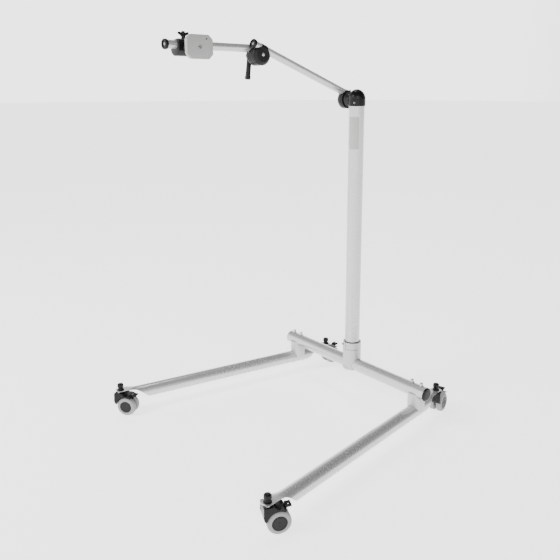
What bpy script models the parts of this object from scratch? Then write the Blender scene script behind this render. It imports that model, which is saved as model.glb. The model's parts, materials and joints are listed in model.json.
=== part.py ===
"""Rolling floor stand: H base on four braked casters, column, two-piece arm and device plate."""
import math

import bmesh
import bpy
from mathutils import Matrix, Vector

MM = 0.001          # every size below is in millimetres
GAP = 0.3           # clearance between pieces that rest on each other
RUN = 0.15          # clearance between a shaft and its bore

# where the column stands, seen from the centre of the footprint
COLUMN_X = -7.0
COLUMN_Y = 208.24

# base
BASE_TUBE_D = 35.0
BASE_WALL = 2.0
LEG_AXIS_Z = 48.0
CROSS_AXIS_Z = 100.0
CROSS_LENGTH = 532.0
CAP_FLANGE = 4.0
CAP_PLUG = 10.0
LEG_SPACING = 469.0         # between the legs where they pass under the cross tube
LEG_SPLAY = 9.2             # degrees, outwards to the front
FRONT_REACH = 551.0         # cross tube to front caster, along the leg
REAR_REACH = 102.0
TONGUE_WIDTH = 27.0
TONGUE_THICK = 3.0
TONGUE_NOSE = 11.0          # tongue beyond the caster
TONGUE_FLAT = 46.0          # tongue behind the caster
CUT_RUN = 30.0              # length of the sloping cut
PLUG_SETBACK = 68.0
PLUG_LENGTH = 12.0

# saddles between the tubes
SADDLE_D = 44.0
SADDLE_LAP = 2.0            # how far the ears stop short of the tube axes
TOP_SCREW_PITCH = 30.0
LOW_SCREW_PITCH = 34.0
SCREW_SHANK_R = 2.5
SCREW_HEAD_R = 4.2
TOP_SCREW_HEAD = 8.0
LOW_SCREW_HEAD = 2.5
SCREW_REACH = 9.0           # shank below the tube wall

# casters
WHEEL_D = 50.0
WHEEL_WIDTH = 14.0
HUBCAP_D = 31.4
TRAIL = 20.0
WEB = 7.6
AXLE_R = 3.0
STEM_R = 4.2
HOOD_GAP = 1.4
HOOD_SKIN = 2.2
BOSS_R = 11.0
PEDAL_ANGLE = 60.0          # pedal hinge above the wheel, from the trailing side
CASTER_TURN = {"front_right": 66.0, "front_left": 38.0, "rear_right": 106.0, "rear_left": 92.0}

# column and its sleeve
COLUMN_D = 40.0
COLUMN_WALL = 2.0
COLUMN_TOP_Z = 803.5
SLEEVE_D = 50.0
SLEEVE_TOP_Z = 165.0
SLEEVE_BOTTOM_Z = 86.0
SLIT = 1.5
TAB_HEIGHT = 19.0
FOOT_SLOT_Z = 94.0
TAB_SCREW_DROP = 8.0

# head and shoulder
HEAD_D = 44.6
HEAD_SIDE = 17.0
HEAD_DOME = 25.0
SHOULDER_Z = 820.0
DRUM_FACE_X = -53.0         # outer face of the shoulder drum
DRUM_BACK_X = -31.5
DRUM_R = 23.0

# arms
ARM_D = 18.0
ARM_WALL = 1.5
ARM_OFFSET = 14.5           # tube axis above the pivot axis
ARM_RISE = 20.5             # degrees
ARM_PITCH = 291.0           # shoulder axis to elbow axis
ARM_OVERRUN = 24.0          # lower tube beyond the elbow
ARM_TAIL = 13.0
LOWER_ARM_X = -42.0
UPPER_RISE = 0.0
UPPER_ARM_LENGTH = 232.0    # elbow axis to the end of the upper tube
END_CAP_D = 22.0
END_CAP_LENGTH = 8.0
END_CAP_BORE_R = 4.5

# elbow
ELBOW_R = 24.0
ELBOW_FACE_R = 18.0
ELBOW_HEAD = 20.0
ELBOW_CHAMFER = 6.0
EAR_WALL = 0.9
BOLT_R = 4.0
BOLT_DOME = 2.0
LEVER_HUB_R = 8.0
LEVER_HUB_LENGTH = 21.0
LEVER_LENGTH = 54.0
LEVER_LEAN = -6.0           # how far forward the tip hangs
LEVER_R = 5.6

# device clamp and plate
CLAMP_Y = -464.0
CLAMP_LENGTH = 40.0
CLAMP_STRAP = 3.0
STEM_OUT_R = 9.0
SPIGOT_R = 6.0
SPIGOT_LENGTH = 5.0
PLATE_X = 5.0               # front face of the plate
PLATE_THICK = 10.0
PLATE_WIDTH = 62.0
PLATE_HEIGHT = 49.0
PLATE_CLIP = 9.5
PLATE_DROP = 7.0            # plate centre below the tube axis
WING_STEM_R = 3.0
WING_SPAN = 26.0
WING_RISE = 15.0

SIDES = 40
FEW_SIDES = 16

ALONG_X = Matrix.Rotation(math.radians(90.0), 4, "Y")
ALONG_Y = Matrix.Rotation(math.radians(-90.0), 4, "X")


def clear_scene():
    for obj in list(bpy.data.objects):
        bpy.data.objects.remove(obj, do_unlink=True)


clear_scene()
PARTS = bpy.data.collections.new("floor_stand")
CUTTERS = bpy.data.collections.new("cutters")
for group in (PARTS, CUTTERS):
    bpy.context.scene.collection.children.link(group)


def make_material(name, colour, roughness, metallic):
    material = bpy.data.materials.new(name)
    material.use_nodes = True
    shader = material.node_tree.nodes["Principled BSDF"]
    shader.inputs["Base Color"].default_value = (*colour, 1.0)
    shader.inputs["Roughness"].default_value = roughness
    shader.inputs["Metallic"].default_value = metallic
    return material


SILVER = make_material("silver_tube", (0.78, 0.78, 0.77), 0.35, 0.6)
STEEL = make_material("screw_steel", (0.60, 0.60, 0.61), 0.3, 1.0)
BLACK = make_material("black_plastic", (0.03, 0.03, 0.032), 0.45, 0.0)
TYRE = make_material("grey_tyre", (0.55, 0.55, 0.55), 0.6, 0.0)
PLATE = make_material("plate_grey", (0.62, 0.62, 0.61), 0.5, 0.3)


def move(x, y, z):
    """A shift from the foot of the column, in millimetres."""
    return Matrix.Translation(Vector((COLUMN_X + x, COLUMN_Y + y, z)) * MM)


def from_bmesh(name, bm, material, place, cutter=False):
    bmesh.ops.recalc_face_normals(bm, faces=bm.faces)
    mesh = bpy.data.meshes.new(name)
    bm.to_mesh(mesh)
    bm.free()
    obj = bpy.data.objects.new(name, mesh)
    obj.matrix_world = place
    if cutter:
        CUTTERS.objects.link(obj)
        obj.hide_render = True
        obj.display_type = "WIRE"
        return obj
    PARTS.objects.link(obj)
    mesh.materials.append(material)
    mesh.shade_smooth()
    mesh.set_sharp_from_angle(angle=math.radians(35.0))
    return obj


def rod(name, radius, low, high, place, material=None, end_radius=None, sides=SIDES):
    """A cylinder or cone on local Z from low to high."""
    bm = bmesh.new()
    top = radius if end_radius is None else end_radius
    shift = Matrix.Translation((0.0, 0.0, (low + high) / 2 * MM))
    bmesh.ops.create_cone(bm, cap_ends=True, segments=sides, radius1=radius * MM, radius2=top * MM,
                          depth=(high - low) * MM, matrix=shift)
    return from_bmesh(name, bm, material, place, cutter=material is None)


def block(name, low, high, place, material=None):
    """A box between two corners."""
    bm = bmesh.new()
    size = [(b - a) * MM for a, b in zip(low, high)]
    centre = [(a + b) / 2 * MM for a, b in zip(low, high)]
    bmesh.ops.create_cube(bm, size=1.0, matrix=Matrix.Translation(centre) @ Matrix.Diagonal((*size, 1.0)))
    return from_bmesh(name, bm, material, place, cutter=material is None)


def turned(name, profile, place, material, sides=SIDES):
    """A closed solid turned on local Z from (radius, height) points, listed from the top down."""
    mesh = bpy.data.meshes.new(name)
    points = [(radius * MM, 0.0, height * MM) for radius, height in profile]
    mesh.from_pydata(points, [(i, i + 1) for i in range(len(points) - 1)], [])
    mesh.materials.append(material)
    obj = bpy.data.objects.new(name, mesh)
    obj.matrix_world = place
    PARTS.objects.link(obj)
    screw = obj.modifiers.new("turn", "SCREW")
    screw.steps = screw.render_steps = sides
    screw.use_merge_vertices = True
    screw.merge_threshold = 0.00001
    screw.use_smooth_shade = True
    return obj


def ring_profile(outer, inner, low, high, chamfer=0.0):
    """Profile of a ring with softened outer corners, closed on itself."""
    return [(inner, high), (outer - chamfer, high), (outer, high - chamfer), (outer, low + chamfer),
            (outer - chamfer, low), (inner, low), (inner, high)]


def outline(name, points, thickness, place, material=None):
    """A flat outline in local XY, centred on its thickness along local Z."""
    bm = bmesh.new()
    ring = [bm.verts.new((x * MM, y * MM, -thickness / 2 * MM)) for x, y in points]
    face = bm.faces.new(ring)
    lifted = bmesh.ops.extrude_face_region(bm, geom=[face])["geom"]
    bmesh.ops.translate(bm, verts=[v for v in lifted if isinstance(v, bmesh.types.BMVert)],
                        vec=(0.0, 0.0, thickness * MM))
    return from_bmesh(name, bm, material, place, cutter=material is None)


def arc(centre, radius, start, end, steps):
    """Points on an arc, angles in degrees."""
    turn = [math.radians(start + (end - start) * i / steps) for i in range(steps + 1)]
    return [(centre[0] + radius * math.cos(a), centre[1] + radius * math.sin(a)) for a in turn]


def combine(obj, other, operation):
    step = obj.modifiers.new(operation.lower(), "BOOLEAN")
    step.operation = operation
    step.solver = "EXACT"
    step.object = other
    return obj


def cut(obj, cutter):
    return combine(obj, cutter, "DIFFERENCE")


def join(obj, piece):
    """Union with a helper shape, which stays out of the model."""
    for owner in list(piece.users_collection):
        owner.objects.unlink(piece)
    CUTTERS.objects.link(piece)
    piece.hide_render = True
    piece.display_type = "WIRE"
    return combine(obj, piece, "UNION")


def screw_solid(name, head_r, head_h, shank_r, shank_l, place, material=STEEL):
    """A screw with its seat at local Z = 0, the head above and the shank below."""
    profile = [(0.0, head_h), (head_r * 0.8, head_h), (head_r, head_h * 0.75), (head_r, 0.0),
               (shank_r, 0.0), (shank_r, -shank_l), (0.0, -shank_l)]
    return turned(name, profile, place, material, sides=FEW_SIDES)


def leg_frame(side):
    """Frame of a leg: origin on its axis under the cross tube, +X forwards along the leg."""
    heading = math.radians(-90.0 + side * LEG_SPLAY)
    return move(side * LEG_SPACING / 2, 0.0, LEG_AXIS_Z) @ Matrix.Rotation(heading, 4, "Z")


def build_cross_tube():
    radius = BASE_TUBE_D / 2
    bore = radius - BASE_WALL
    place = move(0.0, 0.0, CROSS_AXIS_Z) @ ALONG_X
    half = CROSS_LENGTH / 2
    tube = rod("cross_tube", radius, -half, half, place, SILVER)
    cut(tube, rod("cross_bore", bore, -half - 1, half + 1, place))
    for side in (-1, 1):
        for step in (-1, 1):
            hole_x = side * LEG_SPACING / 2 + step * TOP_SCREW_PITCH / 2
            cut(tube, rod("cross_hole", SCREW_SHANK_R + GAP, 0.0, radius + 1,
                          move(hole_x, 0.0, CROSS_AXIS_Z), sides=FEW_SIDES))
    for name, side in (("left", -1), ("right", 1)):
        profile = [(0.0, CAP_FLANGE), (radius - 3.0, CAP_FLANGE), (radius - 1.0, CAP_FLANGE - 1.2),
                   (radius, CAP_FLANGE - 2.6), (radius, GAP), (bore - GAP, GAP),
                   (bore - GAP, -CAP_PLUG), (0.0, -CAP_PLUG)]
        end = move(side * half, 0.0, CROSS_AXIS_Z) @ (ALONG_X if side > 0 else ALONG_X.inverted())
        turned(f"cross_cap_{name}", profile, end, BLACK)


def build_leg(name, side):
    frame = leg_frame(side)
    radius = BASE_TUBE_D / 2
    bore = radius - BASE_WALL
    front = FRONT_REACH + TONGUE_NOSE
    rear = -REAR_REACH - TONGUE_NOSE
    shelf = radius - TONGUE_THICK
    leg = rod(f"leg_{name}", radius, rear, front, frame @ ALONG_X, SILVER)
    cut(leg, rod("leg_bore", bore, rear - 1, front + 1, frame @ ALONG_X))
    for way, reach in ((1, FRONT_REACH), (-1, REAR_REACH)):
        flat_end = way * (reach - TONGUE_FLAT)
        slope_end = way * (reach - TONGUE_FLAT - CUT_RUN)
        past = way * (reach + TONGUE_NOSE + 5.0)
        below = -radius - 1.0
        side_view = frame @ Matrix.Rotation(math.radians(90.0), 4, "X")
        drop = slope_end + (slope_end - flat_end) / (shelf + radius)
        cut(leg, outline("slope_cut", [(past, shelf), (flat_end, shelf), (drop, below), (past, below)],
                         BASE_TUBE_D + 4, side_view))
        nose = way * (reach + TONGUE_NOSE)
        tongue_r = TONGUE_WIDTH / 2
        corner = 6.0
        tip = ([(flat_end - way * 6.0, -tongue_r), (nose - way * corner, -tongue_r)]
               + [(nose - way * (corner - corner * math.sin(a)), -tongue_r + corner - corner * math.cos(a))
                  for a in (math.radians(d) for d in (30, 60, 90))]
               + [(nose - way * (corner - corner * math.sin(a)), tongue_r - corner + corner * math.cos(a))
                  for a in (math.radians(d) for d in (90, 60, 30, 0))]
               + [(flat_end - way * 6.0, tongue_r)])
        tongue = outline("tongue", tip, TONGUE_THICK, frame @ Matrix.Translation((0, 0, (shelf + TONGUE_THICK / 2) * MM)),
                         SILVER)
        join(leg, tongue)
        trim = outline("trim", [(past, -30.0), (way * (reach - TONGUE_FLAT - 6.0), -30.0),
                                (flat_end, -tongue_r), (nose, -tongue_r), (past, -tongue_r)],
                       BASE_TUBE_D + 4, frame)
        mirror = outline("trim", [(past, 30.0), (way * (reach - TONGUE_FLAT - 6.0), 30.0),
                                  (flat_end, tongue_r), (nose, tongue_r), (past, tongue_r)],
                         BASE_TUBE_D + 4, frame)
        cut(leg, trim)
        cut(leg, mirror)
        cut(leg, rod("stem_hole", STEM_R + 2 * GAP, 0.0, radius + 2,
                     frame @ Matrix.Translation((way * reach * MM, 0, 0)), sides=FEW_SIDES))
        end_name = "front" if way > 0 else "rear"
        plug_face = way * (reach - PLUG_SETBACK)
        plug_back = way * (reach - PLUG_SETBACK - PLUG_LENGTH)
        plug = rod(f"leg_plug_{end_name}_{name}", bore - GAP, min(plug_face, plug_back),
                   max(plug_face, plug_back), frame @ ALONG_X, BLACK, sides=SIDES)
        lid = Matrix.Translation((way * 1.2 * MM, 0, 0))
        cut(plug, outline("plug_trim", [(past, shelf - GAP), (flat_end, shelf - GAP), (drop, below), (past, below)],
                          BASE_TUBE_D + 4, frame @ lid.inverted() @ Matrix.Rotation(math.radians(90.0), 4, "X")))
    for step in (-1, 1):
        cut(leg, rod("low_hole", SCREW_SHANK_R + GAP, -radius - 1, 0.0,
                     frame @ Matrix.Translation((step * LOW_SCREW_PITCH / 2 * MM, 0, 0)), sides=FEW_SIDES))
    return leg


def build_saddle(name, side):
    frame = leg_frame(side)
    radius = BASE_TUBE_D / 2
    place = move(side * LEG_SPACING / 2, 0.0, 0.0)
    low, high = LEG_AXIS_Z + SADDLE_LAP, CROSS_AXIS_Z - SADDLE_LAP
    saddle = rod(f"saddle_{name}", SADDLE_D / 2, low, high, place, SILVER)
    cut(saddle, rod("leg_mouth", radius + GAP, -60.0, 60.0, frame @ ALONG_X))
    cut(saddle, rod("cross_mouth", radius + GAP, -60.0, 60.0,
                    move(side * LEG_SPACING / 2, 0.0, CROSS_AXIS_Z) @ ALONG_X))
    for i, step in enumerate((-1, 1)):
        top = move(side * LEG_SPACING / 2 + step * TOP_SCREW_PITCH / 2, 0.0, CROSS_AXIS_Z + radius + GAP)
        screw_solid(f"top_screw_{name}_{i + 1}", SCREW_HEAD_R, TOP_SCREW_HEAD, SCREW_SHANK_R, SCREW_REACH, top)
        low_end = frame @ Matrix.Translation((step * LOW_SCREW_PITCH / 2 * MM, 0, (-radius - GAP) * MM))
        screw_solid(f"low_screw_{name}_{i + 1}", SCREW_HEAD_R, LOW_SCREW_HEAD, SCREW_SHANK_R, SCREW_REACH,
                    low_end @ Matrix.Rotation(math.pi, 4, "X"))


def build_caster(name, side, way):
    """A caster on its own frame: +Z the swivel axis, +X the way the wheels trail."""
    reach = FRONT_REACH if way > 0 else REAR_REACH
    pivot = leg_frame(side) @ Matrix.Translation((way * reach * MM, 0, 0))
    turn = Matrix.Rotation(math.radians(CASTER_TURN[name]), 4, "Z")
    place = Matrix.Translation((pivot.translation.x, pivot.translation.y, 0)) @ turn
    wheel_r = WHEEL_D / 2
    hub = (TRAIL, wheel_r)
    tongue_top = LEG_AXIS_Z + BASE_TUBE_D / 2
    tongue_low = tongue_top - TONGUE_THICK
    boss_top = tongue_low - GAP
    stem_low = wheel_r * 2 + 3.0
    profile = [(0.0, tongue_top + 18.6), (5.0, tongue_top + 18.0), (7.6, tongue_top + 16.4),
               (8.3, tongue_top + 14.0), (7.9, tongue_top + 8.0), (6.6, tongue_top + 6.5),
               (6.6, tongue_top + 3.6), (9.0, tongue_top + 2.4), (9.0, tongue_top + GAP),
               (STEM_R, tongue_top + GAP), (STEM_R, stem_low), (0.0, stem_low)]
    turned(f"caster_nut_{name}", profile, place, BLACK, sides=FEW_SIDES)
    skin_in = wheel_r + HOOD_GAP
    skin_out = skin_in + HOOD_SKIN
    side_view = place @ Matrix.Rotation(math.radians(90.0), 4, "X")
    fender = arc(hub, skin_out, 70, 196, 16) + arc(hub, skin_in, 196, 70, 16)
    hood = outline(f"caster_hood_{name}", fender, WEB + 2 * WHEEL_WIDTH + 2.0, side_view, BLACK)
    pedal_r = skin_out + 5.0
    pedal_at = (hub[0] + pedal_r * math.cos(math.radians(PEDAL_ANGLE)),
                hub[1] + pedal_r * math.sin(math.radians(PEDAL_ANGLE)))
    web = arc(hub, skin_in + 1.0, 196, 78, 14) + arc(pedal_at, 3.2, 110, -60, 6) + arc(hub, 8.0, 0, -164, 8)
    join(hood, outline("web", web, WEB, side_view, BLACK))
    join(hood, rod("boss", BOSS_R, stem_low - 2.2, boss_top, place, BLACK, sides=32))
    cut(hood, rod("stem_bore", STEM_R + GAP, stem_low - GAP, boss_top + 1, place, sides=FEW_SIDES))
    cut(hood, rod("axle_bore", AXLE_R + RUN, -30, 30,
                  place @ Matrix.Translation((hub[0] * MM, 0, hub[1] * MM)) @ ALONG_Y, sides=FEW_SIDES))
    pedal_place = place @ Matrix.Translation((pedal_at[0] * MM, 0, pedal_at[1] * MM)) @ ALONG_Y
    cut(hood, rod("pedal_bore", 1.6 + RUN, -30, 30, pedal_place, sides=12))
    axle_place = place @ Matrix.Translation((hub[0] * MM, 0, hub[1] * MM))
    inner = WEB / 2 + GAP
    axle_end = inner + WHEEL_WIDTH - 3.0
    rod(f"caster_axle_{name}", AXLE_R, -axle_end, axle_end, axle_place @ ALONG_Y, STEEL, sides=FEW_SIDES)
    for hand, flip in (("a", 1), ("b", -1)):
        spin = axle_place @ (ALONG_Y if flip > 0 else ALONG_Y.inverted())
        outer = inner + WHEEL_WIDTH
        cap_r = HUBCAP_D / 2
        wheel = [(0.0, outer), (cap_r - 0.6, outer), (cap_r, outer - 0.6), (cap_r + 0.6, outer - 0.6),
                 (wheel_r - 3.4, outer - 1.2), (wheel_r - 1.0, outer - 3.0), (wheel_r, outer - 6.0),
                 (wheel_r, inner + 3.0), (wheel_r - 1.6, inner), (AXLE_R + RUN, inner),
                 (AXLE_R + RUN, axle_end + GAP), (0.0, axle_end + GAP)]
        turned(f"caster_wheel_{name}_{hand}", wheel, spin, TYRE, sides=32)
    cheek_in = WEB / 2 + GAP
    pedal = rod(f"brake_pedal_{name}", 1.6, -cheek_in - 1, cheek_in + 1, pedal_place, BLACK, sides=12)
    reach_out = 8.0
    for flip in (1, -1):
        cheek = outline("cheek", arc((0, 0), 3.0, 90, 270, 8) + [(reach_out, -2.0), (reach_out, 2.0)], 3.6,
                        side_view @ Matrix.Translation((pedal_at[0] * MM, pedal_at[1] * MM,
                                                        flip * (cheek_in + 1.8) * MM)), BLACK)
        join(pedal, cheek)
    tread = block("tread", (4.6, -8.5, -1.4), (reach_out + 1.5, 8.5, 2.6),
                  place @ Matrix.Translation((pedal_at[0] * MM, 0, pedal_at[1] * MM)), BLACK)
    join(pedal, tread)


def build_sleeve():
    axis = move(0.0, 0.0, 0.0)
    radius = SLEEVE_D / 2
    column_r = COLUMN_D / 2
    cross_r = BASE_TUBE_D / 2
    sleeve = rod("column_sleeve", radius, SLEEVE_BOTTOM_Z, SLEEVE_TOP_Z, axis, SILVER)
    cross_top = CROSS_AXIS_Z + cross_r
    cut(sleeve, rod("column_bore", column_r + GAP, cross_top - 4.0, SLEEVE_TOP_Z + 1, axis))
    cut(sleeve, rod("cross_seat", cross_r + GAP, -60, 60, move(0, 0, CROSS_AXIS_Z) @ ALONG_X))
    slit_z = SLEEVE_TOP_Z - TAB_HEIGHT
    cut(sleeve, block("tab_slit", (-SLIT / 2, -radius - 2, slit_z), (SLIT / 2, -column_r + 4, SLEEVE_TOP_Z + 1), axis))
    cut(sleeve, block("round_slit", (-SLIT / 2, -radius - 2, slit_z - SLIT / 2),
                      (radius + 2, -5.0, slit_z + SLIT / 2), axis))
    cut(sleeve, rod("slit_end", 1.7, column_r - 4, radius + 2,
                    move(0, 0, slit_z) @ Matrix.Rotation(math.radians(-12.0), 4, "Z") @ ALONG_X, sides=16))
    cut(sleeve, block("foot_slot", (-radius - 1, -radius - 1, FOOT_SLOT_Z - SLIT / 2),
                      (8.0, -cross_r + 6.0, FOOT_SLOT_Z + SLIT / 2), axis))
    screw_z = SLEEVE_TOP_Z - TAB_SCREW_DROP
    screw_y = -(column_r + radius) / 2
    seat = -11.5
    lane = move(0, screw_y, screw_z)
    cut(sleeve, rod("screw_seat", 3.4, seat - 12, seat, lane @ ALONG_X, sides=FEW_SIDES))
    cut(sleeve, rod("screw_lane", 1.2 + GAP, seat - 1, 9.0, lane @ ALONG_X, sides=16))
    screw_place = move(seat - GAP, screw_y, screw_z) @ ALONG_X.inverted()
    screw_solid("sleeve_clamp_screw", 3.0, 4.0, 1.2, 18.0, screw_place)


def build_column():
    axis = move(0.0, 0.0, 0.0)
    radius = COLUMN_D / 2
    low = CROSS_AXIS_Z + BASE_TUBE_D / 2 + 1.0
    column = rod("column_tube", radius, low, COLUMN_TOP_Z, axis, SILVER)
    bore = radius - COLUMN_WALL
    cut(column, rod("column_hollow", bore, low - 1, COLUMN_TOP_Z + 1, axis))
    head_r = HEAD_D / 2
    base_z = COLUMN_TOP_Z + GAP
    side_z = base_z + HEAD_SIDE
    dome = [(head_r * math.sin(math.radians(a)), side_z + HEAD_DOME * math.cos(math.radians(a)))
            for a in range(0, 90, 10)]
    profile = dome + [(head_r, side_z), (head_r, base_z + 2.0), (head_r - 1.0, base_z), (bore - GAP, base_z),
                      (bore - GAP, base_z - 22.0), (0.0, base_z - 22.0)]
    head = turned("column_head", profile, axis, BLACK)
    shoulder = move(0.0, 0.0, SHOULDER_Z) @ ALONG_X
    join(head, rod("neck", 18.5, DRUM_BACK_X + GAP, -12.0, shoulder, BLACK, end_radius=12.5))
    join(head, rod("shoulder_pin", BOLT_R, DRUM_FACE_X + 8.0, -20.0, shoulder, BLACK, sides=FEW_SIDES))
    facing = Matrix.Rotation(math.radians(-62.0), 4, "Z") @ ALONG_X
    cut(head, rod("grub_hole", 3.0, head_r - 5.0, head_r + 3.0, move(0, 0, base_z + 8.0) @ facing, sides=FEW_SIDES))


def arm_direction():
    rise = math.radians(ARM_RISE)
    return Vector((0.0, -math.cos(rise), math.sin(rise)))


def arm_normal():
    rise = math.radians(ARM_RISE)
    return Vector((0.0, math.sin(rise), math.cos(rise)))


def elbow_centre():
    """Elbow axis, as (y, z) beside the column."""
    run = arm_direction() * ARM_PITCH
    return run.y, SHOULDER_Z + run.z


def along_arm(x, y, z, rise):
    """Frame on a pivot: +Z along the arm, +Y away from the pivot on the tube's side."""
    return move(x, y, z) @ Matrix.Rotation(math.radians(90.0 - rise), 4, "X")


def clamp_head(name, low, high, radii, pivot, tube_frame, lap):
    """A drum on the pivot axis with an eared cross hole for its tube. radii: low face, body, high face."""
    low_r, body_r, high_r = radii
    profile = [(0.0, high), (high_r, high)]
    if high_r < body_r:
        profile.append((body_r, high - ELBOW_CHAMFER))
    if low_r < body_r:
        profile.append((body_r, low + ELBOW_CHAMFER))
    profile += [(low_r, low), (0.0, low)]
    drum = turned(name, profile, pivot @ ALONG_X, BLACK)
    join(drum, rod("ear", ARM_D / 2 + EAR_WALL, -lap, lap, tube_frame, BLACK, sides=32))
    cut(drum, rod("arm_hole", ARM_D / 2 + GAP, -60, 60, tube_frame))
    return drum


def build_lower_arm():
    shoulder = move(0.0, 0.0, SHOULDER_Z)
    offset = Matrix.Translation((0, ARM_OFFSET * MM, 0))
    at_shoulder = along_arm(LOWER_ARM_X, 0.0, SHOULDER_Z, ARM_RISE)
    drum = clamp_head("shoulder_drum", DRUM_FACE_X, DRUM_BACK_X, (ELBOW_FACE_R, DRUM_R, DRUM_R), shoulder,
                      at_shoulder @ offset, 15.0)
    cut(drum, rod("pin_end", BOLT_R + RUN, DRUM_FACE_X + 8.0 - GAP, DRUM_BACK_X + 1,
                  shoulder @ ALONG_X, sides=FEW_SIDES))
    top = ARM_OFFSET + ARM_D / 2
    screw_frame = at_shoulder @ Matrix.Translation((0, 0, -7.0 * MM)) @ ALONG_Y
    cut(drum, rod("grub_lane", 2.0 + GAP, top - 1, top + EAR_WALL + 3, screw_frame, sides=16))
    seat = screw_frame @ Matrix.Translation((0, 0, (top + EAR_WALL + GAP) * MM))
    screw_solid("shoulder_screw", 3.4, 3.2, 2.0, EAR_WALL - GAP, seat, BLACK)
    length = ARM_PITCH + ARM_OVERRUN
    tube = rod("arm_lower_tube", ARM_D / 2, -ARM_TAIL, length, at_shoulder @ offset, SILVER)
    cut(tube, rod("arm_bore", ARM_D / 2 - ARM_WALL, -ARM_TAIL - 1, length + 1, at_shoulder @ offset))
    arm_cap("arm_lower_cap", at_shoulder @ offset @ Matrix.Translation((0, 0, length * MM)))


def arm_cap(name, place):
    """A ring-shaped cap with a plug in the tube's end."""
    outer = END_CAP_D / 2
    plug = ARM_D / 2 - ARM_WALL - GAP
    profile = [(0.0, 3.5), (END_CAP_BORE_R, 3.5), (END_CAP_BORE_R, END_CAP_LENGTH),
               (outer - 2.0, END_CAP_LENGTH), (outer, END_CAP_LENGTH - 2.0), (outer, 1.5),
               (outer - 1.2, GAP), (plug, GAP), (plug, -10.0), (0.0, -10.0)]
    return turned(name, profile, place, BLACK, sides=32)


def build_elbow():
    y, z = elbow_centre()
    pivot = move(0.0, y, z)
    face_x = LOWER_ARM_X + ELBOW_HEAD / 2
    mid_x = LOWER_ARM_X - ELBOW_HEAD / 2
    lower_frame = along_arm(LOWER_ARM_X, y, z, ARM_RISE) @ Matrix.Translation((0, ARM_OFFSET * MM, 0))
    lower = clamp_head("elbow_lower_head", mid_x, face_x, (ELBOW_R, ELBOW_R, ELBOW_FACE_R), pivot,
                       lower_frame, 17.0)
    upper_x = mid_x - GAP - ELBOW_HEAD / 2
    far_x = mid_x - GAP - ELBOW_HEAD
    upper_frame = along_arm(upper_x, y, z, UPPER_RISE) @ Matrix.Translation((0, ARM_OFFSET * MM, 0))
    upper = clamp_head("elbow_upper_head", far_x, mid_x - GAP, (ELBOW_FACE_R, ELBOW_R, ELBOW_R), pivot,
                       upper_frame, 15.0)
    for head in (lower, upper):
        cut(head, rod("bolt_bore", BOLT_R + RUN, far_x - 5, face_x + 5, pivot @ ALONG_X, sides=FEW_SIDES))
    bolt_end = far_x - GAP - LEVER_HUB_LENGTH * 0.35
    profile = [(0.0, face_x + BOLT_DOME + GAP), (BOLT_R * 0.8, face_x + BOLT_DOME + GAP - 0.4),
               (BOLT_R + 1.6, face_x + GAP + 0.6), (BOLT_R + 1.6, face_x + GAP), (BOLT_R, face_x + GAP),
               (BOLT_R, bolt_end), (0.0, bolt_end)]
    turned("elbow_bolt", profile, pivot @ ALONG_X, STEEL, sides=FEW_SIDES)
    hub_out = far_x - GAP - LEVER_HUB_LENGTH
    hub_profile = [(0.0, bolt_end - 1.0), (BOLT_R + RUN, bolt_end - 1.0), (BOLT_R + RUN, far_x - GAP),
                   (LEVER_HUB_R, far_x - GAP), (LEVER_HUB_R, hub_out + 3.0), (LEVER_HUB_R - 3.0, hub_out),
                   (0.0, hub_out)]
    lever = turned("elbow_lever", hub_profile, pivot @ ALONG_X, BLACK, sides=32)
    start = Vector((hub_out + LEVER_R + 1.0, y, z))
    tip = start + Vector((-1.0, LEVER_LEAN, -LEVER_LENGTH))
    aim = (tip - start).to_track_quat("Z", "Y").to_matrix().to_4x4()
    grip_frame = move(*start) @ aim
    grip = [(0.0, LEVER_LENGTH + 1.5), (3.4, LEVER_LENGTH + 0.8), (LEVER_R, LEVER_LENGTH - 1.2),
            (LEVER_R + 1.0, LEVER_LENGTH - 5.0), (LEVER_R - 0.2, LEVER_LENGTH - 10.0),
            (LEVER_R - 0.9, -2.0), (0.0, -2.0)]
    join(lever, turned("grip", grip, grip_frame, BLACK, sides=FEW_SIDES))
    tube = rod("arm_upper_tube", ARM_D / 2, -ARM_TAIL, UPPER_ARM_LENGTH, upper_frame, SILVER)
    cut(tube, rod("arm_bore", ARM_D / 2 - ARM_WALL, -ARM_TAIL - 1, UPPER_ARM_LENGTH + 1, upper_frame))
    arm_cap("arm_upper_cap", upper_frame @ Matrix.Translation((0, 0, UPPER_ARM_LENGTH * MM)))
    return upper_x


def upper_axis_at(y_target):
    """Centre of the upper tube at a distance along Y."""
    y, z = elbow_centre()
    rise = math.radians(UPPER_RISE)
    foot_y = y + ARM_OFFSET * math.sin(rise)
    foot_z = z + ARM_OFFSET * math.cos(rise)
    return foot_z + (foot_y - y_target) * math.tan(rise)


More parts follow.
